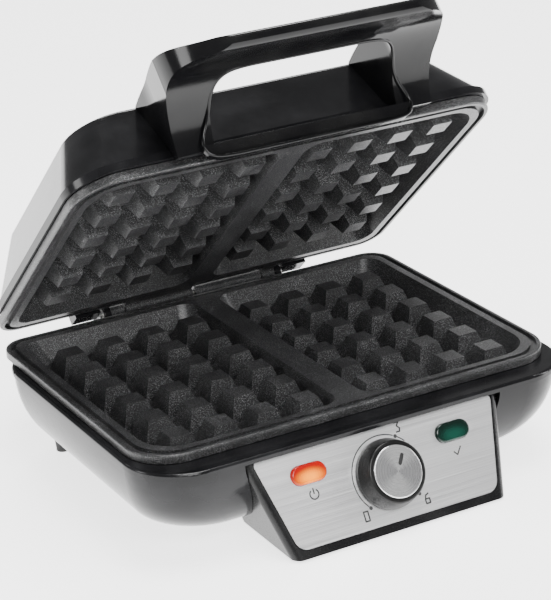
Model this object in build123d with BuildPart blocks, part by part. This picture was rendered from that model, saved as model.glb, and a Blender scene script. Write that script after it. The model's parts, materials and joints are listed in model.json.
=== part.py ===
"""Two-slice waffle maker with a hinged lid, a loop handle and a dial on a sloping front panel.

The part's frame has +Z up, -Y towards the cook, and its origin on the table under the
middle of the machine.  Both halves are drawn from the hinge axis: "ahead" is a distance
from the axis towards the front of the half, and heights are above the axis with the lid
shut.  The lid stands open at OPEN_ANGLE.
"""

import os
from math import atan2, cos, radians, sin, sqrt

from build123d import *

# ---------------------------------------------------------------- driving dimensions (mm)
HINGE_Y = 101.825        # hinge axis behind the middle of the machine
HINGE_Z = 55.0           # hinge axis above the table
OPEN_ANGLE = 42.5        # how far the lid stands open
PARTING = 1.3            # parting plane of the plates above the hinge axis
PARTING_GAP = 0.7        # left between the closed plates

# hinge barrel
PIN_RADIUS = 1.5
RUNNING_CLEARANCE = 0.05
LUG_RADIUS = 4.2
LUG_OUTER = (43.5, 51.5)
LUG_INNER = (1.0, 42.5)
EAR = (51.9, 55.4)
PIN_END = 57.4

# grill plates
PLATE_HALF = 120.0
PLATE_FRONT = 182.5
PLATE_REAR = 5.0
FLANGE_THICK = 4.5
PLATE_DEPTH = 15.5
BODY_HALF = 114.5
BODY_FRONT = 178.5
BODY_REAR = 11.0
BODY_FRONT_RADIUS = 25.0 # plate body's corners, clear of the bowl's and the lid's
BODY_REAR_RADIUS = 24.0
CAVITY_DEPTH = 12.0
DIVIDER_HALF = 7.0
CAVITY_HALF = 110.8
CAVITY_FRONT = 174.3
CAVITY_REAR = 13.5
CAVITY_DRAFT = 6.0
PEG_PITCH = 24.1
PEG_COLUMNS = 4
PEG_ROWS = 6
PEG_FIRST_X = 19.4
PEG_FIRST_AHEAD = 38.0
PEG_TIP = 11.0
PEG_TAPER = 18.4

# heating
ELEMENT_DROP = 0.05      # between a plate's back and its element
ELEMENT_RADIUS = 3.2
ELEMENT_HALF_X = 78.0
ELEMENT_FRONT = 150.0
ELEMENT_REAR = 46.0
REFLECTOR_THICK = 0.8
REFLECTOR_STANDOFF = 10.0
REFLECTOR_LIP = 7.0
TRAY_SCREWS = [(x, -ahead) for x in (-58, 58) for ahead in (70, 128)]
COVER_SCREWS = [(x, -ahead) for x in (-91, 91) for ahead in (60, 150)]
BOSS_RADIUS = 4.6
COVER_BOSS = 7.0         # height of the bosses that the long cover screws bite into
BOSS_BORE = 1.75
TRAY_SCREW_LENGTH = 8.0
REAR_SCREW_X = 88.0
REAR_SCREW_DROP = -10.0  # rear lid screws below the plate's face
REAR_HOLE_DEPTH = 2.2
SCREW_RADIUS = 1.7

# base
RIM_HALF = 124.0
RIM_FRONT = 196.0
RIM_REAR = 7.4
RIM_RADIUS = 31.0
RIM_TOP = -3.85
BEAD_BOTTOM = -7.2
BEAD_PROUD = 1.0
BASE_BOTTOM = -44.0
BASE_INSET = 17.0
WALL = 2.4
OPENING_MARGIN = 0.9     # deck opening round each plate body
CORD_X = 30.0
CORD_Z = -21.0
GLAND_BODY = 6.0
GLAND_BORE = 3.6

# console
PANEL_TOP = (-192.5, -8.0)       # y and z of the panel's top edge, from the hinge axis
PANEL_LENGTH = 48.0
PANEL_TILT = 29.4
PANEL_TOP_HALF = 69.3
PANEL_BOTTOM_HALF = 57.4
PANEL_THICK = 1.0
FRAME_WIDTH = 5.2
CONSOLE_BOTTOM = -53.5
CONSOLE_WALL = 2.2
CONSOLE_HALF_TOP = PANEL_TOP_HALF + FRAME_WIDTH
CONSOLE_HALF_BOTTOM = PANEL_BOTTOM_HALF + FRAME_WIDTH - 1
CONSOLE_REAR = 160.0
MOUTH_TOP = 181.0        # ahead of here the console stands in the base's front wall
MOUTH_BOTTOM = 173.0
CONSOLE_GAP = 0.25
DIAL_DOWN = 24.3         # dial centre below the panel's top edge
LENS_X = 41.6
LENS_DOWN = 12.9
LENS_LENGTH = 20.0
LENS_WIDTH = 10.0
LENS_PROUD = 1.6
FRAME_PROUD = 0.4        # console frame above the panel's face
PANEL_SEAT = 3.2         # back of the console's front wall below the panel's face
BUSH_RADIUS = 4.6
KNOB_RADIUS = 17.7
KNOB_HEIGHT = 11.5
CAP_RADIUS = 13.2
SHAFT_RADIUS = 3.0
POINTER_ANGLE = 31.0     # clockwise from straight up

# lid
COVER_HALF = 121.5
COVER_FRONT = 185.5
COVER_REAR = 6.0
COVER_RADIUS = 26.0
COVER_BOTTOM = 6.45
COVER_BEAD_TOP = 10.4
COVER_TOP = 44.0
COVER_SIDE_INSET = 17.0
COVER_FRONT_INSET = 17.0
COVER_REAR_INSET = 9.0
COVER_EDGE = 3.0
TAB_SPAN = (57.5, 72.5)

HANDLE_SCREW_X = 61.0
HANDLE_SCREW_UP = (14.0, 26.0)   # up the lid's front wall from its bead
HANDLE_SCREW_BITE = 8.0
HANDLE_WALL = 2.2        # lid's front wall measured square to its face
LIP_HALF = 59.0

# handle
HANDLE_HALF = 76.0
HANDLE_CORNER = 34.0
LEG_BLEND = 60.0
WINDOW_CORNER = 16.0
LIP_CORNER = 9.0
WINDOW_HALF = 51.5
LEG_FOOT_HALF = 70.5
BAR_INNER = 222.0
BAR_NOSE = 250.0

# feet
PAD_THICK = 1.5
FOOT_X = 100.5
FOOT_AHEAD = 36.0
FRONT_PAD_X = 48.0
FRONT_PAD_AHEAD = 205.0

# ---------------------------------------------------------------- working planes
tilt = radians(OPEN_ANGLE)
base_frame = Plane(origin=(0, HINGE_Y, HINGE_Z), x_dir=(1, 0, 0), z_dir=(0, 0, 1))
lid_frame = Plane(origin=(0, HINGE_Y, HINGE_Z), x_dir=(1, 0, 0), z_dir=(0, sin(tilt), cos(tilt)))
half_gap = PARTING_GAP / 2
lower_plate_frame = base_frame.offset(PARTING - half_gap)
upper_plate_frame = Plane(
    origin=lid_frame.offset(PARTING + half_gap).origin,
    x_dir=(-1, 0, 0),
    z_dir=-lid_frame.z_dir,
)
lean = radians(PANEL_TILT)
panel_frame = Plane(
    origin=(0, HINGE_Y + PANEL_TOP[0], HINGE_Z + PANEL_TOP[1]),
    x_dir=(1, 0, 0),
    z_dir=(0, -cos(lean), sin(lean)),
)


def side_plane(frame, x):
    """Plane across the machine at x: its local X runs ahead of the hinge and its local Y up."""
    return Plane(origin=frame.from_local_coords((x, 0, 0)), x_dir=-frame.y_dir, z_dir=-frame.x_dir)


def frame_rear(frame):
    """Rear face of a plate's body, facing back; its local Y is up in the frame."""
    return Plane(
        origin=frame.from_local_coords((0, -BODY_REAR, 0)),
        x_dir=-frame.x_dir,
        z_dir=frame.y_dir,
    )


def outline(frame, height, half, front, rear, front_radius, rear_radius):
    """Rounded rectangle on a frame: half its width, and its two ends ahead of the hinge."""
    with BuildSketch(frame.offset(height)) as shape:
        with Locations((0, -(front + rear) / 2)):
            Rectangle(2 * half, front - rear)
        fillet(shape.vertices().group_by(Axis.Y)[0], front_radius)
        fillet(shape.vertices().group_by(Axis.Y)[-1], rear_radius)
    return shape.sketch


def pocket(frame, height, side, draft):
    """Outline of one waffle cavity at a height, drawn in by its draft."""
    inner = DIVIDER_HALF + draft / 2
    outer = CAVITY_HALF - draft
    front = CAVITY_FRONT - draft * 0.8
    rear = CAVITY_REAR + draft * 1.3
    with BuildSketch(frame.offset(height)) as shape:
        with Locations((side * (inner + outer) / 2, -(front + rear) / 2)):
            Rectangle(outer - inner, front - rear)
        fillet(shape.vertices().sort_by(Axis.Y)[:2].sort_by(Axis.X)[-1 if side > 0 else 0], 20 - draft)
        sharp = shape.vertices().group_by(Axis.Y)[-1]
        fillet(sharp, 9)
        fillet(shape.vertices().group_by(Axis.Y)[0].sort_by(Axis.X)[0 if side > 0 else -1], 9)
    return shape.sketch


# ---------------------------------------------------------------- grill plates
with BuildPart() as peg:
    with BuildSketch(Plane.XY):
        Rectangle(PEG_TIP, PEG_TIP)
    extrude(amount=-CAVITY_DEPTH - 0.5, taper=-PEG_TAPER)


peg_places = [
    (side * (PEG_FIRST_X + PEG_PITCH * column), -(PEG_FIRST_AHEAD + PEG_PITCH * row))
    for side in (-1, 1)
    for column in range(PEG_COLUMNS)
    for row in range(PEG_ROWS)
]


def grill_plate(frame, lug_spans, axis_height):
    """Cast plate, its cooking face at height zero of its frame and its lugs round the hinge."""
    with BuildPart(frame) as plate:
        extrude(
            outline(frame, -FLANGE_THICK, PLATE_HALF, PLATE_FRONT, PLATE_REAR, 24, 14),
            amount=FLANGE_THICK,
        )
        fillet(plate.faces().sort_by(Axis(frame.origin, frame.z_dir))[-1].edges(), 1.0)
        extrude(
            outline(frame, -PLATE_DEPTH, BODY_HALF, BODY_FRONT, BODY_REAR, BODY_FRONT_RADIUS, BODY_REAR_RADIUS),
            amount=PLATE_DEPTH - 1,
        )
        # bosses under the plate for the tray's and the cover's screws
        tray_boss = REFLECTOR_STANDOFF - REFLECTOR_THICK - 0.05
        for places, height in ((TRAY_SCREWS, tray_boss), (COVER_SCREWS, COVER_BOSS)):
            with BuildSketch(frame.offset(-PLATE_DEPTH - height)) as bosses:
                with Locations(*places):
                    Circle(BOSS_RADIUS)
            extrude(bosses.sketch, amount=height + 0.5)
            with BuildSketch(frame.offset(-PLATE_DEPTH - height)) as bores:
                with Locations(*places):
                    Circle(BOSS_BORE)
            extrude(bores.sketch, amount=height - 0.5, mode=Mode.SUBTRACT)
        # tapped holes in the rear face
        with BuildSketch(frame_rear(frame)) as rear_holes:
            with Locations((-REAR_SCREW_X, REAR_SCREW_DROP), (REAR_SCREW_X, REAR_SCREW_DROP)):
                Circle(BOSS_BORE)
        extrude(rear_holes.sketch, amount=-REAR_HOLE_DEPTH, mode=Mode.SUBTRACT)
        # drip channel between the outer lip and the inner ridge
        channel = outline(frame, -2.2, 117.6, 180.1, 7.4, 21.6, 11.6)
        ridge = outline(frame, -2.2, 114.6, 177.6, 9.9, 20, 9)
        extrude(channel - ridge, amount=4, mode=Mode.SUBTRACT)
        for side in (-1, 1):
            loft(
                [pocket(frame, -CAVITY_DEPTH, side, CAVITY_DRAFT), pocket(frame, 0.4, side, 0)],
                mode=Mode.SUBTRACT,
            )
        for start, end in lug_spans:
            with BuildSketch(side_plane(frame, end)) as lug:
                with BuildLine():
                    Polyline(
                        (PLATE_REAR + 6, -FLANGE_THICK),
                        (PLATE_REAR + 6, -0.6),
                        (0, axis_height - 0.5),
                        (0, axis_height - LUG_RADIUS),
                        close=True,
                    )
                make_face()
                with Locations((0, axis_height)):
                    Circle(LUG_RADIUS)
            extrude(lug.sketch, amount=end - start)
        with BuildSketch(side_plane(frame, LUG_OUTER[1] + 5)) as pin_hole:
            with Locations((0, axis_height)):
                Circle(PIN_RADIUS + RUNNING_CLEARANCE)
        extrude(pin_hole.sketch, amount=2 * LUG_OUTER[1] + 10, mode=Mode.SUBTRACT)
        with Locations(*peg_places):
            add(peg.part, clean=False)
    return plate.part


plate_lugs = [LUG_INNER, (-LUG_OUTER[1], -LUG_OUTER[0])]
lower_plate = grill_plate(lower_plate_frame, plate_lugs, half_gap - PARTING)
upper_plate = grill_plate(upper_plate_frame, plate_lugs, half_gap + PARTING)


# ---------------------------------------------------------------- heating behind each plate
def heating_element(frame):
    """Tubular element bent round the back of a plate, with its two terminal pins."""
    depth = -PLATE_DEPTH - ELEMENT_RADIUS - ELEMENT_DROP
    with BuildPart() as element:
        with BuildLine(frame.offset(depth)) as run:
            FilletPolyline(
                (-14, -28),
                (-14, -ELEMENT_REAR),
                (-ELEMENT_HALF_X, -ELEMENT_REAR),
                (-ELEMENT_HALF_X, -ELEMENT_FRONT),
                (ELEMENT_HALF_X, -ELEMENT_FRONT),
                (ELEMENT_HALF_X, -ELEMENT_REAR),
                (14, -ELEMENT_REAR),
                (14, -28),
                radius=12,
            )
        with BuildSketch(Plane(origin=run.wire() @ 0, z_dir=run.wire() % 0)):
            Circle(ELEMENT_RADIUS)
        sweep()
        for end in (-14, 14):
            with BuildSketch(Plane(origin=frame.from_local_coords((end, -28.5, depth)), z_dir=frame.y_dir)):
                Circle(1.4)
            extrude(amount=8)
    return element.part


def element_clips(frame):
    """Straps that hold the element to the back of its plate, one solid each."""
    back = -PLATE_DEPTH
    crown = back - 2 * ELEMENT_RADIUS - ELEMENT_DROP - 1.3
    places = [(side * ELEMENT_HALF_X, -98, frame.x_dir) for side in (-1, 1)]
    places += [(side * 38, -ELEMENT_FRONT, frame.y_dir) for side in (-1, 1)]
    with BuildPart() as clips:
        for x, y, reach in places:
            middle = frame.from_local_coords((x, y, 0))
            across = Plane(origin=middle, x_dir=reach, z_dir=reach.cross(frame.z_dir))
            with BuildSketch(across) as strap:
                with BuildLine():
                    Polyline(
                        (-9, back - 0.05),
                        (-9, back - 1.25),
                        (-4.8, back - 1.25),
                        (-4.8, crown),
                        (4.8, crown),
                        (4.8, back - 1.25),
                        (9, back - 1.25),
                        (9, back - 0.05),
                        (3.6, back - 0.05),
                        (3.6, crown + 1.2),
                        (-3.6, crown + 1.2),
                        (-3.6, back - 0.05),
                        close=True,
                    )
                make_face()
            extrude(strap.sketch, amount=5, both=True)
    return clips.part


def reflector_tray(frame):
    """Thin pressed tray that throws the element's heat back at the plate."""
    floor = -PLATE_DEPTH - REFLECTOR_STANDOFF
    with BuildPart() as tray:
        extrude(outline(frame, floor, 104, 170, 20, 16, 10), amount=REFLECTOR_LIP)
        extrude(
            outline(frame, floor + REFLECTOR_THICK, 104 - REFLECTOR_THICK, 170 - REFLECTOR_THICK,
                    20 + REFLECTOR_THICK, 16 - REFLECTOR_THICK, 10 - REFLECTOR_THICK),
            amount=REFLECTOR_LIP,
            mode=Mode.SUBTRACT,
        )
        with BuildSketch(frame.offset(floor)) as holes:
            with Locations(*TRAY_SCREWS, *COVER_SCREWS):
                Circle(2.1)
            with Locations((-14, -26), (14, -26)):
                Circle(5)
        extrude(holes.sketch, amount=REFLECTOR_THICK, mode=Mode.SUBTRACT)
    return tray.part


def tray_screws(frame):
    """Pan-head screws through the tray, one solid each."""
    floor = -PLATE_DEPTH - REFLECTOR_STANDOFF
    with BuildPart() as screws:
        with BuildSketch(frame.offset(floor - 0.05)) as heads:
            with Locations(*TRAY_SCREWS):
                Circle(3.4)
        extrude(heads.sketch, amount=-2.2)
        with BuildSketch(frame.offset(floor - 0.1)) as shanks:
            with Locations(*TRAY_SCREWS):
                Circle(SCREW_RADIUS)
        extrude(shanks.sketch, amount=TRAY_SCREW_LENGTH)
        with BuildSketch(frame.offset(floor - 2.3)) as drives:
            with Locations(*TRAY_SCREWS):
                Rectangle(4.2, 0.8)
                Rectangle(0.8, 4.2)
        extrude(drives.sketch, amount=1.1, mode=Mode.SUBTRACT)
    return screws.part


lower_element = heating_element(lower_plate_frame)
upper_element = heating_element(upper_plate_frame)
lower_element_clips = element_clips(lower_plate_frame)
upper_element_clips = element_clips(upper_plate_frame)
lower_reflector = reflector_tray(lower_plate_frame)
upper_reflector = reflector_tray(upper_plate_frame)
lower_tray_screws = tray_screws(lower_plate_frame)
upper_tray_screws = tray_screws(upper_plate_frame)


# ---------------------------------------------------------------- base
def base_sections(offset, top):
    """Outlines down the base's bowl, drawn in by offset, from a height to the bottom."""
    sections = []
    for step in range(6):
        t = step / 5
        curve = (1 - sqrt(1 - (0.94 * t) ** 2)) / (1 - sqrt(1 - 0.94**2))
        inset = BASE_INSET * curve + offset
        height = top + (BASE_BOTTOM - top) * t
        half = RIM_HALF - BEAD_PROUD - inset
        front = RIM_FRONT - BEAD_PROUD - inset
        rear = RIM_REAR + 0.35 * (inset - offset) + 0.8 * offset
        sections.append(outline(base_frame, height, half, front, rear, RIM_RADIUS - offset, RIM_RADIUS - offset))
    return sections


def console_mouth(gap):
    """Block ahead of the line where the console takes over from the base's front wall."""
    with BuildPart() as block:
        with BuildSketch(side_plane(base_frame, 100)) as side_view:
            with BuildLine():
                Polyline(
                    (MOUTH_TOP - gap, 5),
                    (MOUTH_TOP - gap, -18),
                    (MOUTH_BOTTOM - gap, BASE_BOTTOM - 1),
                    (240, BASE_BOTTOM - 1),
                    (240, 5),
                    close=True,
                )
            make_face()
        extrude(side_view.sketch, amount=200)
    return block.part


# the bowl behind the console's mouth, grown by the gap between the two mouldings
with BuildPart() as bowl_form:
    loft(base_sections(-CONSOLE_GAP, BEAD_BOTTOM))
    add(console_mouth(0), mode=Mode.SUBTRACT)


def panel_point(height, out):
    """Distance ahead of the hinge where the panel's plane, moved out, has this height."""
    return -PANEL_TOP[0] - (height - PANEL_TOP[1]) * sin(lean) / cos(lean) + out / cos(lean)


def console_section(height, out, inset, rear, half):
    """Outline of the console at a height."""
    front = panel_point(height, out)
    with BuildSketch(base_frame.offset(height)) as shape:
        with Locations((0, -(front + rear) / 2)):
            Rectangle(2 * (half - inset), front - rear)
        fillet(shape.vertices().group_by(Axis.Y)[0], 5 - inset)
        fillet(shape.vertices().group_by(Axis.Y)[-1], 8 - inset)
    return shape.sketch


console_top = BEAD_BOTTOM - 0.3
with BuildPart() as mouth:
    loft([
        console_section(CONSOLE_BOTTOM, FRAME_PROUD, -CONSOLE_GAP, CONSOLE_REAR, CONSOLE_HALF_BOTTOM),
        console_section(BEAD_BOTTOM - 0.05, FRAME_PROUD + 4, -CONSOLE_GAP, CONSOLE_REAR, CONSOLE_HALF_TOP),
    ])
    add(console_mouth(CONSOLE_GAP), mode=Mode.INTERSECT)

with BuildPart() as base_housing:
    loft(base_sections(0, BEAD_BOTTOM))
    extrude(
        outline(base_frame, BEAD_BOTTOM, RIM_HALF, RIM_FRONT, RIM_REAR, RIM_RADIUS, RIM_RADIUS),
        amount=RIM_TOP - BEAD_BOTTOM,
    )
    fillet(base_housing.faces().sort_by(Axis.Z)[-1].edges(), 1.6)
    # bowl hollowed under the deck
    loft(base_sections(WALL, RIM_TOP - WALL), mode=Mode.SUBTRACT)
    extrude(
        outline(base_frame, RIM_TOP - WALL - 0.1, BODY_HALF + OPENING_MARGIN, BODY_FRONT + OPENING_MARGIN,
                BODY_REAR - OPENING_MARGIN, BODY_FRONT_RADIUS + OPENING_MARGIN,
                BODY_REAR_RADIUS + OPENING_MARGIN),
        amount=2 * WALL,
        mode=Mode.SUBTRACT,
    )
    # hinge block behind the bowl
    with BuildSketch(side_plane(base_frame, EAR[1])) as block:
        with BuildLine():
            Polyline(
                (9.8, -9),
                (9.8, -16),
                (12, -35),
                (-9, -35),
                (-13, -30),
                (-13, -9),
                (-10, -6.6),
                (6.8, -6.6),
                close=True,
            )
        make_face()
    extrude(block.sketch, amount=2 * EAR[1])
    with BuildSketch(side_plane(base_frame, EAR[1] - WALL)) as block_hollow:
        with BuildLine():
            Polyline((16, -11), (16, -32.6), (-7.6, -32.6), (-10.6, -29), (-10.6, -11), (-9, -9), (9, -9), close=True)
        make_face()
    extrude(block_hollow.sketch, amount=2 * (EAR[1] - WALL), mode=Mode.SUBTRACT)
    for side in (-1, 1):
        ear_plane = side_plane(base_frame, EAR[1] if side > 0 else -EAR[0])
        with BuildSketch(ear_plane) as ear:
            with BuildLine():
                Polyline((4.8, 0), (4.8, -8), (-13, -10), (-13, -7), (-2.6, 4.0), close=True)
            make_face()
            Circle(4.8)
            Circle(PIN_RADIUS + RUNNING_CLEARANCE, mode=Mode.SUBTRACT)
        extrude(ear.sketch, amount=EAR[1] - EAR[0])
        # upright-storage heel beside the block
        heel_x = side * (TAB_SPAN[0] + TAB_SPAN[1]) / 2
        with BuildSketch(base_frame.offset(-14)) as heel:
            with Locations((heel_x, 2)):
                SlotOverall(TAB_SPAN[1] - TAB_SPAN[0], 8)
            with Locations((heel_x, -4)):
                Rectangle(TAB_SPAN[1] - TAB_SPAN[0], 12)
        extrude(heel.sketch, amount=7.4)
    # mouth in the front wall that takes the console
    add(mouth.part, mode=Mode.SUBTRACT)
    # cord inlet at the back of the block
    inlet = Plane(origin=base_frame.from_local_coords((CORD_X, 20, CORD_Z)), z_dir=(0, -1, 0))
    with BuildSketch(inlet) as inlet_hole:
        Circle(GLAND_BODY)
    extrude(inlet_hole.sketch, amount=12, mode=Mode.SUBTRACT)

with BuildPart() as cord_gland:
    with BuildSketch(Plane(origin=base_frame.from_local_coords((CORD_X, 13.05, CORD_Z)), z_dir=(0, 1, 0))) as flange_ring:
        Circle(GLAND_BODY + 2)
        Circle(GLAND_BORE, mode=Mode.SUBTRACT)
    extrude(flange_ring.sketch, amount=2)
    with BuildSketch(Plane(origin=base_frame.from_local_coords((CORD_X, 13.1, CORD_Z)), z_dir=(0, -1, 0))) as sleeve:
        Circle(GLAND_BODY - 0.05)
        Circle(GLAND_BORE, mode=Mode.SUBTRACT)
    extrude(sleeve.sketch, amount=7)
    fillet(cord_gland.faces().sort_by(Axis.Y)[-1].edges(), 0.6)

with BuildPart() as base_cover:
    bottom = base_sections(WALL + 0.3, BEAD_BOTTOM)[-1]
    extrude(bottom, amount=2)
    with BuildSketch(base_frame.offset(BASE_BOTTOM + 2)) as ribs:
        for x in (-72, -24, 24, 72):
            with Locations((x, -102)):
                Rectangle(1.8, 130)
    extrude(ribs.sketch, amount=5)
    with BuildSketch(base_frame.offset(BASE_BOTTOM)) as vents:
        with Locations((0, -100)):
            with GridLocations(9, 1, 5, 1):
                SlotOverall(70, 3.2, rotation=90)
    extrude(vents.sketch, amount=2, mode=Mode.SUBTRACT)
    with BuildSketch(base_frame.offset(BASE_BOTTOM)) as cover_holes:
        with Locations(*COVER_SCREWS):
            Circle(2)
    extrude(cover_holes.sketch, amount=3, mode=Mode.SUBTRACT)
    add(mouth.part, mode=Mode.SUBTRACT)

with BuildPart() as cover_screws:
    with BuildSketch(base_frame.offset(BASE_BOTTOM - 0.05)) as heads:
        with Locations(*COVER_SCREWS):
            Circle(3.4)
    extrude(heads.sketch, amount=-1.8)
    with BuildSketch(base_frame.offset(BASE_BOTTOM - 0.1)) as shanks:
        with Locations(*COVER_SCREWS):
            Circle(SCREW_RADIUS)
    extrude(shanks.sketch, amount=PARTING - half_gap - PLATE_DEPTH - BASE_BOTTOM - 2)
    with BuildSketch(base_frame.offset(BASE_BOTTOM - 1.9)) as drives:
        with Locations(*COVER_SCREWS):
            Rectangle(4, 0.8)
            Rectangle(0.8, 4)
    extrude(drives.sketch, amount=1, mode=Mode.SUBTRACT)

with BuildPart() as rear_feet:
    for side in (-1, 1):
        with BuildSketch(base_frame.offset(BASE_BOTTOM - 0.05)) as top:
            with Locations((side * FOOT_X, -FOOT_AHEAD)):
                Circle(4.6)
        with BuildSketch(Plane.XY.offset(PAD_THICK)) as tip:
            with Locations((side * FOOT_X, HINGE_Y - FOOT_AHEAD)):
                Circle(3.6)
        loft([top.sketch, tip.sketch])

with BuildPart() as foot_pads:
    for side in (-1, 1):
        with BuildSketch(Plane.XY) as pads:
            with Locations((side * FOOT_X, HINGE_Y - FOOT_AHEAD)):
                Circle(3.6)
            with Locations((side * FRONT_PAD_X, HINGE_Y - FRONT_PAD_AHEAD)):
                Circle(6.5)
        extrude(pads.sketch, amount=PAD_THICK - 0.05)
    fillet(foot_pads.faces().sort_by(Axis.Z)[:4].edges(), 0.4)

# ---------------------------------------------------------------- console
def panel_outline(height, margin, rise, top_radius, bottom_radius):
    """The panel's trapezium in its own plane, grown by a margin and run up by a rise."""
    flare = (PANEL_TOP_HALF - PANEL_BOTTOM_HALF) / PANEL_LENGTH
    top_half = PANEL_TOP_HALF + margin + rise * flare
    with BuildSketch(panel_frame.offset(height)) as shape:
        with BuildLine():
            Polyline(
                (-top_half, rise),
                (-PANEL_BOTTOM_HALF - margin, -PANEL_LENGTH - margin),
                (PANEL_BOTTOM_HALF + margin, -PANEL_LENGTH - margin),
                (top_half, rise),
                close=True,
            )
        make_face()
        fillet(shape.vertices().group_by(Axis.Y)[-1], top_radius)
        fillet(shape.vertices().group_by(Axis.Y)[0], bottom_radius)
    return shape.sketch


with BuildPart() as control_housing:
    loft([
        console_section(CONSOLE_BOTTOM, FRAME_PROUD, 0, CONSOLE_REAR, CONSOLE_HALF_BOTTOM),
        console_section(console_top, FRAME_PROUD, 0, CONSOLE_REAR - 10, CONSOLE_HALF_TOP),
    ])
    loft(
        [
            console_section(CONSOLE_BOTTOM + CONSOLE_WALL, -PANEL_SEAT, CONSOLE_WALL, CONSOLE_REAR + 3,
                            CONSOLE_HALF_BOTTOM),
            console_section(console_top + 1, -PANEL_SEAT, CONSOLE_WALL, CONSOLE_REAR - 11, CONSOLE_HALF_TOP),
        ],
        mode=Mode.SUBTRACT,
    )
    add(bowl_form.part, mode=Mode.SUBTRACT)
    extrude(panel_outline(-PANEL_THICK - 0.05, 0.3, 5, 3.3, 7.3), amount=4, mode=Mode.SUBTRACT)
    with BuildSketch(panel_frame) as console_holes:
        with Locations((-LENS_X, -LENS_DOWN), (LENS_X, -LENS_DOWN)):
            SlotOverall(LENS_LENGTH + 3.6, LENS_WIDTH + 3.6)
        with Locations((0, -DIAL_DOWN)):
            Circle(BUSH_RADIUS + 0.3)
    extrude(console_holes.sketch, amount=-8, mode=Mode.SUBTRACT)

with BuildPart() as control_panel:
    extrude(panel_outline(-PANEL_THICK, 0, 0, 3, 7), amount=PANEL_THICK)
    with BuildSketch(panel_frame.offset(-PANEL_THICK)) as panel_holes:
        with Locations((-LENS_X, -LENS_DOWN), (LENS_X, -LENS_DOWN)):
            SlotOverall(LENS_LENGTH, LENS_WIDTH)
        with Locations((0, -DIAL_DOWN)):
            Circle(BUSH_RADIUS + 0.1)
    extrude(panel_holes.sketch, amount=PANEL_THICK, mode=Mode.SUBTRACT)


def lens(side):
    """Moulded light window: a stadium that stands through the panel, with a flange behind it."""
    with BuildPart() as window:
        with BuildSketch(panel_frame.offset(-PANEL_THICK - 1.3)) as flange:
            with Locations((side * LENS_X, -LENS_DOWN)):
                SlotOverall(LENS_LENGTH + 3, LENS_WIDTH + 3)
        extrude(flange.sketch, amount=1.2)
        with BuildSketch(panel_frame.offset(-PANEL_THICK - 1.3)) as dome:
            with Locations((side * LENS_X, -LENS_DOWN)):
                SlotOverall(LENS_LENGTH - 0.3, LENS_WIDTH - 0.3)
        extrude(dome.sketch, amount=PANEL_THICK + 1.3 + LENS_PROUD)
        fillet(window.faces().sort_by(Axis(panel_frame.origin, panel_frame.z_dir))[-1].edges(), 1.2)
    return window.part


def indicator_lamp(side):
    """Neon lamp on its two leads behind a lens."""
    with BuildPart() as lamp:
        end = Plane(
            origin=panel_frame.from_local_coords((side * LENS_X - 5, -LENS_DOWN, -PANEL_THICK - 6.5)),
            x_dir=panel_frame.y_dir,
            z_dir=panel_frame.x_dir,
        )
        with BuildSketch(end) as glass:
            Circle(2.2)
        extrude(glass.sketch, amount=10)
        fillet(lamp.edges(), 0.8)
        with BuildSketch(end) as leads:
            with Locations((-1, 0), (1, 0)):
                Circle(0.3)
        extrude(leads.sketch, amount=-7)
    return lamp.part


power_lens = lens(-1)
ready_lens = lens(1)
power_lamp = indicator_lamp(-1)
ready_lamp = indicator_lamp(1)

dial_axis = Plane(
    origin=panel_frame.from_local_coords((0, -DIAL_DOWN, 0)),
    x_dir=panel_frame.x_dir,
    z_dir=panel_frame.z_dir,
)
with BuildPart() as thermostat:
    with BuildSketch(dial_axis.offset(-PANEL_SEAT - 0.1)) as can:
        RectangleRounded(30, 24, 3)
    extrude(can.sketch, amount=-11)
    with BuildSketch(dial_axis.offset(-PANEL_SEAT - 0.2)) as bush:
        Circle(BUSH_RADIUS)
    extrude(bush.sketch, amount=PANEL_SEAT + 3.2)
    with BuildSketch(dial_axis.offset(-PANEL_SEAT - 4)) as bush_bore:
        Circle(SHAFT_RADIUS + RUNNING_CLEARANCE)
    extrude(bush_bore.sketch, amount=20, mode=Mode.SUBTRACT)
    with BuildSketch(dial_axis.offset(-PANEL_SEAT - 11)) as tabs:
        with Locations((-10, -7), (10, -7)):
            Rectangle(1, 6)
    extrude(tabs.sketch, amount=-6)

with BuildPart() as thermostat_nut:
    with BuildSketch(dial_axis.offset(0.05)) as nut:
        RegularPolygon(6.2, 6)
        Circle(BUSH_RADIUS + 0.03, mode=Mode.SUBTRACT)
    extrude(nut.sketch, amount=2.4)

with BuildPart() as thermostat_shaft:
    with BuildSketch(dial_axis.offset(-PANEL_SEAT - 3.6)) as spindle:
        Circle(SHAFT_RADIUS)
    extrude(spindle.sketch, amount=PANEL_SEAT + 3.6 + 8)
    with BuildSketch(dial_axis.offset(3.6)) as flat:
        with Locations((0, SHAFT_RADIUS)):
            Rectangle(8, 2)
    extrude(flat.sketch, amount=6, mode=Mode.SUBTRACT)

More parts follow.
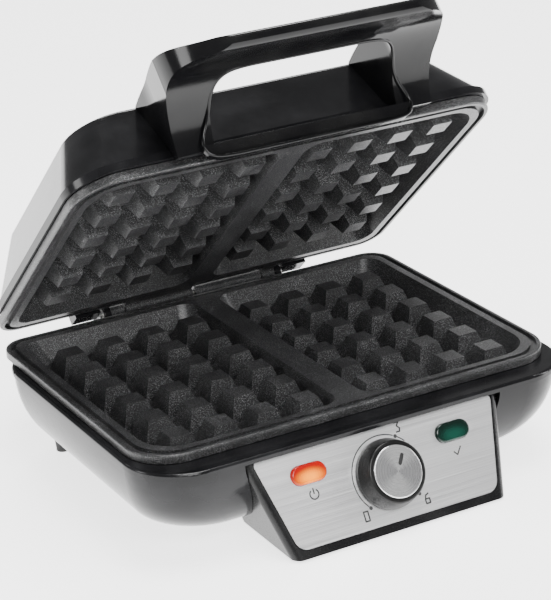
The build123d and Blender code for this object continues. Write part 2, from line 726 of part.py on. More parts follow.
with BuildPart() as knob_body:
    with BuildSketch(dial_axis.offset(0.6)) as skirt:
        Circle(KNOB_RADIUS)
    with BuildSketch(dial_axis.offset(2.6)) as shoulder:
        Circle(KNOB_RADIUS - 0.1)
    with BuildSketch(dial_axis.offset(KNOB_HEIGHT - 0.6)) as crown:
        Circle(KNOB_RADIUS - 2.2)
    loft([skirt.sketch, shoulder.sketch, crown.sketch], ruled=True)
    fillet(knob_body.faces().sort_by(Axis(dial_axis.origin, dial_axis.z_dir))[-1].edges(), 1.2)
    with BuildSketch(dial_axis.offset(0.6)) as hollow:
        Circle(KNOB_RADIUS - 3.2)
        Circle(SHAFT_RADIUS + 2.2, mode=Mode.SUBTRACT)
    extrude(hollow.sketch, amount=6.4, mode=Mode.SUBTRACT)
    with BuildSketch(dial_axis.offset(0.6)) as nut_room:
        Circle(7.2)
    extrude(nut_room.sketch, amount=3.4, mode=Mode.SUBTRACT)
    with BuildSketch(dial_axis) as hub_bore:
        Circle(SHAFT_RADIUS + 0.02)
    extrude(hub_bore.sketch, amount=8.2, mode=Mode.SUBTRACT)
    with BuildSketch(dial_axis.offset(KNOB_HEIGHT - 1.6)) as cap_seat:
        Circle(CAP_RADIUS + 0.05)
    extrude(cap_seat.sketch, amount=3, mode=Mode.SUBTRACT)

pointer = Plane(
    origin=dial_axis.origin,
    x_dir=dial_axis.x_dir * cos(radians(POINTER_ANGLE)) - dial_axis.y_dir * sin(radians(POINTER_ANGLE)),
    z_dir=dial_axis.z_dir,
)
with BuildPart() as knob_cap:
    with BuildSketch(dial_axis.offset(KNOB_HEIGHT - 1.55)) as disc:
        Circle(CAP_RADIUS)
    extrude(disc.sketch, amount=1.75)
    fillet(knob_cap.faces().sort_by(Axis(dial_axis.origin, dial_axis.z_dir))[-1].edges(), 0.5)
    with BuildSketch(pointer.offset(KNOB_HEIGHT - 1.0)) as slot:
        with Locations((0, 6.3)):
            SlotOverall(6.2, 2, rotation=90)
    extrude(slot.sketch, amount=3, mode=Mode.SUBTRACT)

with BuildPart() as knob_pointer:
    with BuildSketch(pointer.offset(KNOB_HEIGHT - 0.95)) as inlay:
        with Locations((0, 6.3)):
            SlotOverall(6.1, 1.9, rotation=90)
    extrude(inlay.sketch, amount=1.05)


# ---------------------------------------------------------------- hinge and wiring pieces
with BuildPart() as hinge_pin:
    with BuildSketch(Plane(origin=(-PIN_END, HINGE_Y, HINGE_Z), z_dir=(1, 0, 0))) as rod:
        Circle(PIN_RADIUS)
    extrude(rod.sketch, amount=PIN_END + EAR[1] + 1)
    with BuildSketch(Plane(origin=(EAR[1] + 0.1, HINGE_Y, HINGE_Z), z_dir=(1, 0, 0))) as pin_head:
        Circle(2.7)
    extrude(pin_head.sketch, amount=1.6)
    fillet(hinge_pin.faces().sort_by(Axis.X)[-1].edges(), 0.5)
    with BuildSketch(Plane(origin=(-EAR[1] - 0.95, HINGE_Y, HINGE_Z), z_dir=(1, 0, 0))) as groove:
        Circle(PIN_RADIUS + 1)
        Circle(PIN_RADIUS - 0.4, mode=Mode.SUBTRACT)
    extrude(groove.sketch, amount=0.8, mode=Mode.SUBTRACT)

with BuildPart() as hinge_clip:
    with BuildSketch(Plane(origin=(-EAR[1] - 0.9, HINGE_Y, HINGE_Z), x_dir=(0, 1, 0), z_dir=(1, 0, 0))) as ring:
        Circle(3.2)
        Circle(PIN_RADIUS - 0.35, mode=Mode.SUBTRACT)
        with Locations((0, -2.4)):
            Rectangle(2, 4, mode=Mode.SUBTRACT)
    extrude(ring.sketch, amount=0.7)

with BuildPart() as terminal_block:
    with BuildSketch(base_frame.offset(BASE_BOTTOM + 2.05)) as block_body:
        with Locations((CORD_X, -26)):
            RectangleRounded(26, 12, 1.5)
    extrude(block_body.sketch, amount=9)
    with BuildSketch(base_frame.offset(BASE_BOTTOM + 11.05)) as wire_screws:
        with Locations((CORD_X, -26)):
            with GridLocations(8, 1, 3, 1):
                Circle(2.2)
    extrude(wire_screws.sketch, amount=-3, mode=Mode.SUBTRACT)

with BuildPart() as thermal_fuse:
    fuse_centre = lower_plate_frame.from_local_coords((0, -88, -PLATE_DEPTH - 2.6))
    with BuildSketch(Plane(origin=fuse_centre, z_dir=(1, 0, 0))) as fuse:
        Circle(2.4)
    extrude(fuse.sketch, amount=8, both=True)
    with BuildSketch(Plane(origin=fuse_centre, z_dir=(1, 0, 0))) as fuse_leads:
        Circle(0.5)
    extrude(fuse_leads.sketch, amount=20, both=True)


# ---------------------------------------------------------------- lid
def cover_outline(height, offset):
    """Outline of the lid's drafted wall at a height, drawn in by offset."""
    rise = max(height - COVER_BEAD_TOP, 0) / (COVER_TOP - COVER_BEAD_TOP)
    return outline(
        lid_frame,
        height,
        COVER_HALF - BEAD_PROUD - offset - COVER_SIDE_INSET * rise,
        COVER_FRONT - BEAD_PROUD - offset - COVER_FRONT_INSET * rise,
        COVER_REAR + BEAD_PROUD / 2 + 0.8 * offset + COVER_REAR_INSET * rise,
        COVER_RADIUS - offset,
        COVER_RADIUS - offset,
    )


def cover_solid(offset):
    """The lid's outer form, drawn in by offset."""
    with BuildPart() as form:
        loft([cover_outline(COVER_BEAD_TOP, offset), cover_outline(COVER_TOP - offset, offset)])
        fillet(form.faces().sort_by(Axis(lid_frame.origin, lid_frame.z_dir))[-1].edges(), COVER_EDGE)
        extrude(
            outline(lid_frame, COVER_BOTTOM + offset, COVER_HALF - offset, COVER_FRONT - offset,
                    COVER_REAR + offset, COVER_RADIUS, COVER_RADIUS),
            amount=COVER_BEAD_TOP - COVER_BOTTOM - 2 * offset,
        )
    return form.part


front_wall_lean = atan2(COVER_FRONT_INSET, COVER_TOP - COVER_BEAD_TOP)
front_wall = Plane(
    origin=lid_frame.from_local_coords((0, BEAD_PROUD - COVER_FRONT, COVER_BEAD_TOP)),
    x_dir=(1, 0, 0),
    z_dir=lid_frame.z_dir * sin(front_wall_lean) - lid_frame.y_dir * cos(front_wall_lean),
)
handle_screw_places = [(x, up) for x in (-HANDLE_SCREW_X, HANDLE_SCREW_X) for up in HANDLE_SCREW_UP]
rear_screw_places = [
    (x, PARTING + half_gap - REAR_SCREW_DROP) for x in (-REAR_SCREW_X, REAR_SCREW_X)
]
rear_wall = Plane(
    origin=lid_frame.from_local_coords((0, -BODY_REAR, 0)),
    x_dir=-lid_frame.x_dir,
    z_dir=lid_frame.y_dir,
)

with BuildPart() as lid_cover:
    add(cover_solid(0))
    loft([cover_outline(COVER_BEAD_TOP, WALL), cover_outline(COVER_TOP - WALL, WALL)], mode=Mode.SUBTRACT)
    extrude(cover_outline(COVER_BOTTOM - 0.1, WALL), amount=COVER_BEAD_TOP - COVER_BOTTOM + 0.15, mode=Mode.SUBTRACT)
    with BuildSketch(rear_wall.offset(0.05)) as pads:
        with Locations(*rear_screw_places):
            Circle(4.4)
    extrude(pads.sketch, amount=4.6)
    with BuildSketch(rear_wall) as pad_bores:
        with Locations(*rear_screw_places):
            Circle(SCREW_RADIUS + 0.1)
    extrude(pad_bores.sketch, amount=8, mode=Mode.SUBTRACT)
    with BuildSketch(rear_wall.offset(4.65)) as head_seats:
        with Locations(*rear_screw_places):
            Circle(3.5)
    extrude(head_seats.sketch, amount=4, mode=Mode.SUBTRACT)
    with BuildSketch(front_wall.offset(2)) as handle_holes:
        with Locations(*handle_screw_places):
            Circle(SCREW_RADIUS + 0.2)
    extrude(handle_holes.sketch, amount=-8, mode=Mode.SUBTRACT)
    for side in (-1, 1):
        end = TAB_SPAN[1] if side > 0 else -TAB_SPAN[0]
        with BuildSketch(side_plane(lid_frame, end)) as tab:
            with BuildLine():
                Polyline((9, 6.5), (9, 9), (-3.5, 9), (-5, 7.5), (-5, 0.3), (4.5, 0.3), (4.5, 6.5), close=True)
            make_face()
        extrude(tab.sketch, amount=TAB_SPAN[1] - TAB_SPAN[0])

with BuildPart() as lid_screws:
    with BuildSketch(rear_wall.offset(4.7)) as heads:
        with Locations(*rear_screw_places):
            Circle(3.2)
    extrude(heads.sketch, amount=1.8)
    with BuildSketch(rear_wall.offset(4.8)) as shanks:
        with Locations(*rear_screw_places):
            Circle(SCREW_RADIUS)
    extrude(shanks.sketch, amount=-6.8)
    with BuildSketch(rear_wall.offset(6.5)) as drives:
        with Locations(*rear_screw_places):
            Rectangle(4, 0.8)
            Rectangle(0.8, 4)
    extrude(drives.sketch, amount=-1, mode=Mode.SUBTRACT)

# ---------------------------------------------------------------- handle
# lip that hangs over the plates' front edges
lip_face = Plane(
    origin=lid_frame.from_local_coords((0, -180, 0)),
    x_dir=lid_frame.x_dir,
    z_dir=-lid_frame.y_dir,
)
with BuildPart() as lip_bar:
    with BuildSketch(side_plane(lid_frame, LIP_HALF)) as lip:
        with BuildLine():
            Polyline((193, 6), (186, 8), (186, 4.2), (192.6, 2.6), (192.6, -3.2), (195.4, -3.2))
            ThreePointArc((195.4, -3.2), (194.6, 1), (195.8, 4.6))
            Line((195.8, 4.6), (193, 6))
        make_face()
    extrude(lip.sketch, amount=2 * LIP_HALF)
    with BuildSketch(lip_face) as lip_front:
        with Locations((0, 6.8)):
            Rectangle(2 * LIP_HALF, 20)
        fillet(lip_front.vertices().group_by(Axis.Y)[0], LIP_CORNER)
    extrude(lip_front.sketch, amount=20, mode=Mode.INTERSECT)

with BuildPart() as handle:
    with BuildSketch(side_plane(lid_frame, HANDLE_HALF)) as section:
        with BuildLine():
            Polyline((163, 42), (186, 10), (186, 3.8), (192.5, 3))
            Spline((192.5, 3), (203, 20), (222, 29.4), (247, 27.4), tangents=[(0.3, 1), (1, -0.25)])
            ThreePointArc((247, 27.4), (BAR_NOSE, 30.4), (247.4, 34.8))
            Spline((247.4, 34.8), (230, 41.4), (190, 46.6), (168, 44.4), tangents=[(-1, 0.3), (-1, -0.2)])
            Line((168, 44.4), (163, 42))
        make_face()
    extrude(section.sketch, amount=2 * HANDLE_HALF)
    with BuildSketch(lid_frame) as plan:
        with BuildLine():
            Polyline(
                (-LEG_FOOT_HALF, -150),
                (-LEG_FOOT_HALF, -186),
                (-HANDLE_HALF, -214),
                (-HANDLE_HALF, -BAR_NOSE - 1),
                (HANDLE_HALF, -BAR_NOSE - 1),
                (HANDLE_HALF, -214),
                (LEG_FOOT_HALF, -186),
                (LEG_FOOT_HALF, -150),
                close=True,
            )
        make_face()
        fillet(plan.vertices().group_by(Axis.Y)[0], HANDLE_CORNER)
        fillet(plan.vertices().filter_by(lambda corner: abs(corner.Y + 186) < 1), LEG_BLEND)
    extrude(plan.sketch, amount=60, mode=Mode.INTERSECT)
    # finger window, open down to the lip's bar
    with BuildSketch(lid_frame.offset(-10)) as window:
        with Locations((0, -(BAR_INNER + 150) / 2)):
            Rectangle(2 * WINDOW_HALF, BAR_INNER - 150)
        fillet(window.vertices().group_by(Axis.Y)[0], WINDOW_CORNER)
    extrude(window.sketch, amount=80, mode=Mode.SUBTRACT)
    add(lip_bar.part)
    add(cover_solid(-0.05), mode=Mode.SUBTRACT)
    with BuildSketch(front_wall.offset(-1)) as handle_bores:
        with Locations(*handle_screw_places):
            Circle(SCREW_RADIUS + 0.05)
    extrude(handle_bores.sketch, amount=HANDLE_SCREW_BITE + 1.5, mode=Mode.SUBTRACT)

with BuildPart() as handle_screws:
    with BuildSketch(front_wall.offset(-HANDLE_WALL - 0.05)) as heads:
        with Locations(*handle_screw_places):
            Circle(3.2)
    extrude(heads.sketch, amount=-1.8)
    with BuildSketch(front_wall.offset(-HANDLE_WALL - 0.15)) as shanks:
        with Locations(*handle_screw_places):
            Circle(SCREW_RADIUS)
    extrude(shanks.sketch, amount=HANDLE_WALL + HANDLE_SCREW_BITE)
    with BuildSketch(front_wall.offset(-HANDLE_WALL - 1.8)) as drives:
        with Locations(*handle_screw_places):
            Rectangle(4, 0.8)
            Rectangle(0.8, 4)
    extrude(drives.sketch, amount=0.9, mode=Mode.SUBTRACT)

# ---------------------------------------------------------------- labels and files
pieces = {
    "base_housing": base_housing.part,
    "base_cover": base_cover.part,
    "cover_screws": cover_screws.part,
    "rear_feet": rear_feet.part,
    "foot_pads": foot_pads.part,
    "cord_gland": cord_gland.part,
    "terminal_block": terminal_block.part,
    "thermal_fuse": thermal_fuse.part,
    "control_housing": control_housing.part,
    "control_panel": control_panel.part,
    "power_lens": power_lens,
    "ready_lens": ready_lens,
    "power_lamp": power_lamp,
    "ready_lamp": ready_lamp,
    "thermostat": thermostat.part,
    "thermostat_nut": thermostat_nut.part,
    "thermostat_shaft": thermostat_shaft.part,
    "knob_body": knob_body.part,
    "knob_cap": knob_cap.part,
    "knob_pointer": knob_pointer.part,
    "lower_plate": lower_plate,
    "lower_element": lower_element,
    "lower_element_clips": lower_element_clips,
    "lower_reflector": lower_reflector,
    "lower_tray_screws": lower_tray_screws,
    "hinge_pin": hinge_pin.part,
    "hinge_clip": hinge_clip.part,
    "upper_plate": upper_plate,
    "upper_element": upper_element,
    "upper_element_clips": upper_element_clips,
    "upper_reflector": upper_reflector,
    "upper_tray_screws": upper_tray_screws,
    "lid_cover": lid_cover.part,
    "lid_screws": lid_screws.part,
    "handle": handle.part,
    "handle_screws": handle_screws.part,
}
os.makedirs("parts", exist_ok=True)
for name, piece in pieces.items():
    piece.label = name
    export_step(piece, f"parts/{name}.step")
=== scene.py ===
"""Looks, lights and camera for a two-slice waffle maker.

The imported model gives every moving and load-carrying piece.  This script gives each of them
a procedural material, adds the printed dial marks and the knob's grip ribs, and sets up a
pale studio.  All lengths are metres in the row's own frame.
"""

import json
import logging
import math
from collections.abc import Callable, Iterable
from dataclasses import dataclass, field
from enum import Enum

import bmesh
import bpy
from mathutils import Matrix, Vector


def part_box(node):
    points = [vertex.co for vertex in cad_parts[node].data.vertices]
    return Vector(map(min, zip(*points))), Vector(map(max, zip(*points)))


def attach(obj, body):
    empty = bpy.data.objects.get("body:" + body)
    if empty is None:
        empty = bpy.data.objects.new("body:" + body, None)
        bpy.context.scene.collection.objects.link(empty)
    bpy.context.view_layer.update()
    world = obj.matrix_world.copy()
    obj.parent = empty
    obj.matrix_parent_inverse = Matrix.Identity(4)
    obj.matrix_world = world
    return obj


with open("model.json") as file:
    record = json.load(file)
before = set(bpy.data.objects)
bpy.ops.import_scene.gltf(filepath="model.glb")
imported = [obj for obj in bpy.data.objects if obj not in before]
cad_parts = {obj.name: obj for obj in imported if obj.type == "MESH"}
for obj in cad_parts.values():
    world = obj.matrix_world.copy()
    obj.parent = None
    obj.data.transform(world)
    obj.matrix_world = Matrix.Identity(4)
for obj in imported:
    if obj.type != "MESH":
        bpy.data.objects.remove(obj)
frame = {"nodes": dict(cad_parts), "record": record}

LOG = logging.getLogger("waffle_maker")
MM = 0.001
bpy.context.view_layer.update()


# ---------------------------------------------------------------- named options
class Coating(Enum):
    """How a surface is finished, which picks the shader graph."""

    MOULDED = "moulded"
    SPECKLED = "speckled"
    BRUSHED = "brushed"
    SPUN = "spun"
    TURNED = "turned"
    LENS = "lens"
    PRINT = "print"
    FLOOR = "floor"


class Anchor(Enum):
    """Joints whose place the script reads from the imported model."""

    LID = "lid_hinge"
    KNOB = "knob_turn"


# ---------------------------------------------------------------- shader sockets
class Wire:
    """A value in a shader graph that can be combined with the usual operators."""

    def __init__(self, graph: "Graph", socket: bpy.types.NodeSocket) -> None:
        self.graph = graph
        self.socket = socket

    def _math(self, operation: str, *others: "Wire | float") -> "Wire":
        """Add a Math node that takes this value and the others."""
        node = self.graph.tree.nodes.new("ShaderNodeMath")
        node.operation = operation
        for index, value in enumerate((self, *others)):
            self.graph.feed(node.inputs[index], value)
        return Wire(self.graph, node.outputs[0])

    def __add__(self, other: "Wire | float") -> "Wire":
        return self._math("ADD", other)

    __radd__ = __add__

    def __sub__(self, other: "Wire | float") -> "Wire":
        return self._math("SUBTRACT", other)

    def __rsub__(self, other: "Wire | float") -> "Wire":
        return self._math("MULTIPLY", -1.0) + other

    def __mul__(self, other: "Wire | float") -> "Wire":
        return self._math("MULTIPLY", other)

    __rmul__ = __mul__

    def __truediv__(self, other: "Wire | float") -> "Wire":
        return self._math("DIVIDE", other)

    def root(self) -> "Wire":
        """Square root."""
        return self._math("SQRT")

    def sine(self) -> "Wire":
        """Sine of an angle in radians."""
        return self._math("SINE")

    def turn_from(self, other: "Wire | float") -> "Wire":
        """Angle in radians of the point whose height is this value and whose reach is the other."""
        return self._math("ARCTAN2", other)

    def ramp(self, low: float, high: float, start: float = 0.0, end: float = 1.0) -> "Wire":
        """Smooth step from start to end as the value goes from low to high.

        Args:
            low: Value at which the result is start.
            high: Value at which the result is end.
            start: Result at and below low.
            end: Result at and above high.

        Returns:
            The remapped value.
        """
        node = self.graph.tree.nodes.new("ShaderNodeMapRange")
        node.interpolation_type = "SMOOTHSTEP"
        self.graph.feed(node.inputs["Value"], self)
        limits = {"From Min": low, "From Max": high, "To Min": start, "To Max": end}
        for name, value in limits.items():
            node.inputs[name].default_value = value
        return Wire(self.graph, node.outputs["Result"])


class Graph:
    """One material's node tree with its Principled shader."""

    def __init__(self, name: str) -> None:
        self.material = bpy.data.materials.new(name)
        self.material.use_nodes = True
        self.tree = self.material.node_tree
        self.shader = self.tree.nodes["Principled BSDF"]
        self.place = self.node("ShaderNodeTexCoord", "Object")

    def feed(self, target: bpy.types.NodeSocket, value: "Wire | float | tuple") -> None:
        """Link a wire to a socket, or set the socket's own value.

        Args:
            target: Input socket.
            value: What goes into it.
        """
        if isinstance(value, Wire):
            self.tree.links.new(value.socket, target)
        else:
            target.default_value = value

    def node(
        self, kind: str, output: str, settings: dict | None = None, **inputs: object
    ) -> Wire:
        """Add any node.

        Args:
            kind: Blender's node type.
            output: Name of the output to return.
            settings: Properties of the node itself.
            **inputs: Socket values or wires, by socket name with _ for a space.

        Returns:
            The named output.
        """
        made = self.tree.nodes.new(kind)
        for key, value in (settings or {}).items():
            setattr(made, key, value)
        for key, value in inputs.items():
            self.feed(made.inputs[key.replace("_", " ")], value)
        return Wire(self, made.outputs[output])

    def stretched(self, scale: tuple[float, float, float]) -> Wire:
        """Object coordinates scaled along each axis."""
        return self.node("ShaderNodeMapping", "Vector", Vector=self.place, Scale=scale)

    def noise(self, scale: float, detail: float = 3.0, at: Wire | None = None) -> Wire:
        """Fractal noise between 0 and 1.

        Args:
            scale: Features per metre.
            detail: Number of finer layers.
            at: Coordinates, the object's own if left out.

        Returns:
            The noise value.
        """
        place = at or self.place
        return self.node("ShaderNodeTexNoise", "Fac", Vector=place, Scale=scale, Detail=detail)

    def axes(self, vector: Wire) -> tuple[Wire, Wire, Wire]:
        """The three components of a vector."""
        split = self.tree.nodes.new("ShaderNodeSeparateXYZ")
        self.feed(split.inputs[0], vector)
        x, y, z = (Wire(self, output) for output in split.outputs)
        return x, y, z

    def offset_from(self, centre: tuple[float, float, float]) -> Wire:
        """Object coordinates measured from a centre."""
        made = self.tree.nodes.new("ShaderNodeVectorMath")
        made.operation = "SUBTRACT"
        self.feed(made.inputs[0], self.place)
        self.feed(made.inputs[1], centre)
        return Wire(self, made.outputs["Vector"])

    def speckle(self, scale: float) -> Wire:
        """Distance to the nearest of many scattered points, in cells."""
        return self.node("ShaderNodeTexVoronoi", "Distance", Vector=self.place, Scale=scale)

    def blend(self, amount: Wire, low: tuple, high: tuple) -> Wire:
        """Colour between two colours.

        Args:
            amount: 0 for the low colour and 1 for the high one.
            low: Linear colour.
            high: Linear colour.

        Returns:
            The mixed colour.
        """
        made = self.tree.nodes.new("ShaderNodeMix")
        made.data_type = "RGBA"
        self.feed(made.inputs["Factor"], amount)
        ends = [socket for socket in made.inputs if socket.type == "RGBA"]
        for socket, colour in zip(ends, (low, high)):
            socket.default_value = (*colour, 1.0)
        mixed = next(socket for socket in made.outputs if socket.type == "RGBA")
        return Wire(self, mixed)

    def bump(self, height: Wire, distance: float, strength: float = 1.0) -> None:
        """Raise the surface by a height in the shader.

        Args:
            height: Height between 0 and 1.
            distance: Metres that a height of 1 stands for.
            strength: How much of it shows.
        """
        normal = self.node(
            "ShaderNodeBump", "Normal", Height=height, Distance=distance, Strength=strength
        )
        self.feed(self.shader.inputs["Normal"], normal)

    def set(self, **values: object) -> None:
        """Set or link the Principled shader's sockets, by name with _ for a space."""
        for key, value in values.items():
            self.feed(self.shader.inputs[key.replace("_", " ")], value)


# ---------------------------------------------------------------- finishes
@dataclass(frozen=True)
class Finish:
    """What a surface is made of.

    Attributes:
        name: Material name.
        coating: Which graph is built.
        colour: Main colour, linear.
        second: Colour of the speckle, worn places or glow; on the spun cap, the painted shade
            between its painted highlights.
        roughness: Mean roughness.
        metallic: 1 for bare metal.
        grain: Texture features per metre.
        relief: Height of the surface texture in metres.
        specular: Strength of the mirror reflection, 0.5 for ordinary plastic.
    """

    name: str
    coating: Coating
    colour: tuple[float, float, float]
    second: tuple[float, float, float] = (0.1, 0.1, 0.1)
    roughness: float = 0.4
    metallic: float = 0.0
    grain: float = 900.0
    relief: float = 0.00003
    specular: float = 0.5


SHELL = Finish(
    "gloss_shell",
    Coating.MOULDED,
    colour=(0.004, 0.004, 0.0045),
    second=(0.012, 0.012, 0.013),
    roughness=0.15, grain=420, relief=6e-6, specular=0.24,
)
HANDLE_BLACK = Finish(
    "gloss_handle",
    Coating.MOULDED,
    colour=(0.003, 0.003, 0.0035),
    second=(0.009, 0.009, 0.009),
    roughness=0.1, grain=300, relief=4e-6, specular=0.26,
)
CONSOLE_BLACK = Finish(
    "satin_console",
    Coating.MOULDED,
    colour=(0.004, 0.004, 0.0045),
    second=(0.012, 0.012, 0.012),
    roughness=0.26, grain=1500, relief=8e-6, specular=0.3,
)
INNER_BLACK = Finish(
    "matte_inner",
    Coating.MOULDED,
    colour=(0.01, 0.01, 0.01),
    second=(0.03, 0.03, 0.03),
    roughness=0.55, grain=1800, relief=2e-5, specular=0.35,
)
KNOB_BLACK = Finish(
    "satin_knob",
    Coating.MOULDED,
    colour=(0.004, 0.004, 0.004),
    second=(0.012, 0.012, 0.012),
    roughness=0.3, grain=2200, relief=1e-5, specular=0.25,
)
RUBBER = Finish(
    "foot_rubber",
    Coating.MOULDED,
    colour=(0.02, 0.02, 0.02),
    second=(0.06, 0.06, 0.055),
    roughness=0.75, grain=1500, relief=4e-5,
)
NATURAL = Finish(
    "natural_plastic",
    Coating.MOULDED,
    colour=(0.7, 0.69, 0.64),
    second=(0.5, 0.48, 0.42),
    roughness=0.5, grain=900, relief=1e-5,
)
NON_STICK = Finish(
    "speckled_coating",
    Coating.SPECKLED,
    colour=(0.012, 0.012, 0.0125),
    second=(0.5, 0.5, 0.51),
    roughness=0.32, grain=2600, relief=1.2e-5, specular=0.4,
)
STAINLESS = Finish(
    "brushed_panel",
    Coating.BRUSHED,
    colour=(0.8, 0.8, 0.81),
    second=(0.93, 0.93, 0.93),
    roughness=0.34, metallic=1.0, grain=5200, relief=6e-6,
)
# On the spun cap, second is the painted shade between the painted highlight bands.
CAP = Finish(
    "spun_cap",
    Coating.SPUN,
    colour=(0.9, 0.9, 0.9),
    second=(0.55, 0.55, 0.56),
    roughness=0.24, metallic=1.0, grain=5200, relief=5e-6,
)
STEEL = Finish(
    "plated_steel",
    Coating.TURNED,
    colour=(0.5, 0.5, 0.5),
    second=(0.34, 0.33, 0.31),
    roughness=0.34, metallic=1.0, grain=1600, relief=8e-6,
)
SHEATH = Finish(
    "heated_sheath",
    Coating.TURNED,
    colour=(0.16, 0.14, 0.13),
    second=(0.3, 0.2, 0.13),
    roughness=0.5, metallic=1.0, grain=500, relief=1e-5,
)
TRAY = Finish(
    "rolled_tray",
    Coating.BRUSHED,
    colour=(0.75, 0.75, 0.76),
    second=(0.6, 0.6, 0.6),
    roughness=0.26, metallic=1.0, grain=1800, relief=8e-6,
)
BRASS = Finish(
    "machined_brass",
    Coating.TURNED,
    colour=(0.72, 0.52, 0.22),
    second=(0.5, 0.34, 0.14),
    roughness=0.3, metallic=1.0, grain=2400, relief=6e-6,
)
RED_LENS = Finish(
    "red_lens",
    Coating.LENS,
    colour=(0.3, 0.002, 0.0),
    second=(1.0, 0.27, 0.0),
    roughness=0.16, specular=0.25,
)
GREEN_LENS = Finish(
    "green_lens",
    Coating.LENS,
    colour=(0.0004, 0.008, 0.005),
    second=(0.002, 0.04, 0.026),
    roughness=0.14, specular=0.35,
)
LAMP_GLASS = Finish(
    "lamp_glass",
    Coating.MOULDED,
    colour=(0.9, 0.88, 0.84),
    second=(0.8, 0.5, 0.3),
    roughness=0.08, grain=200, relief=1e-6,
)
INK = Finish(
    "panel_ink",
    Coating.PRINT,
    colour=(0.015, 0.015, 0.016),
    second=(0.04, 0.04, 0.04),
    roughness=0.5, grain=3000, relief=4e-6,
)
FLOOR = Finish(
    "studio_floor",
    Coating.FLOOR,
    colour=(0.86, 0.86, 0.86),
    second=(0.83, 0.83, 0.83),
    roughness=0.26, grain=12, relief=0.0,
)


# Strengths and grains that several finishes share; grains are features per metre.
LENS_GLOW = {RED_LENS.name: 0.7, GREEN_LENS.name: 0.0}
LENS_REACH = (0.0085, 0.0038)  # metres from a lens's middle to where its glow has gone
LENS_COAT = 0.15
PRISM_TURN = 5200.0  # radians per metre of the ribs inside a lens
PRISM_HEIGHT = 4e-5
FLOOR_GLOW = 2.6
COAT_ROUGHNESS = 0.06
MOTTLE_GRAIN = 38
SMEAR_GRAIN = 14
CLOUD_GRAIN = 60
TONE_GRAIN = 90
# painted highlight: colour of the bright fan-shaped reflections painted into the spun cap
PAINTED_FAN_HIGHLIGHT = (0.95, 0.95, 0.95)


@dataclass(frozen=True)
class Dial:
    """The dial's place and own directions on the sloping panel."""

    centre: Vector
    right: Vector
    up: Vector
    out: Vector

    def matrix(self, height: float = 0.0) -> Matrix:
        """Transform from dial coordinates (right, up, out) to the row frame."""
        turn = Matrix((self.right, self.up, self.out)).transposed().to_4x4()
        return Matrix.Translation(self.centre + self.out * height) @ turn


def joint(anchor: Anchor) -> dict:
    """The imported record's entry for a joint."""
    joints = frame["record"]["behaviour"]["joints"]
    return next(entry for entry in joints if entry["name"] == anchor.value)


def find_dial() -> Dial:
    """Dial axes from the knob's joint."""
    entry = joint(Anchor.KNOB)
    out = Vector(entry["axis"]).normalized()
    right = Vector((1, 0, 0))
    return Dial(Vector(entry["pos_m"]), right, out.cross(right).normalized(), out)


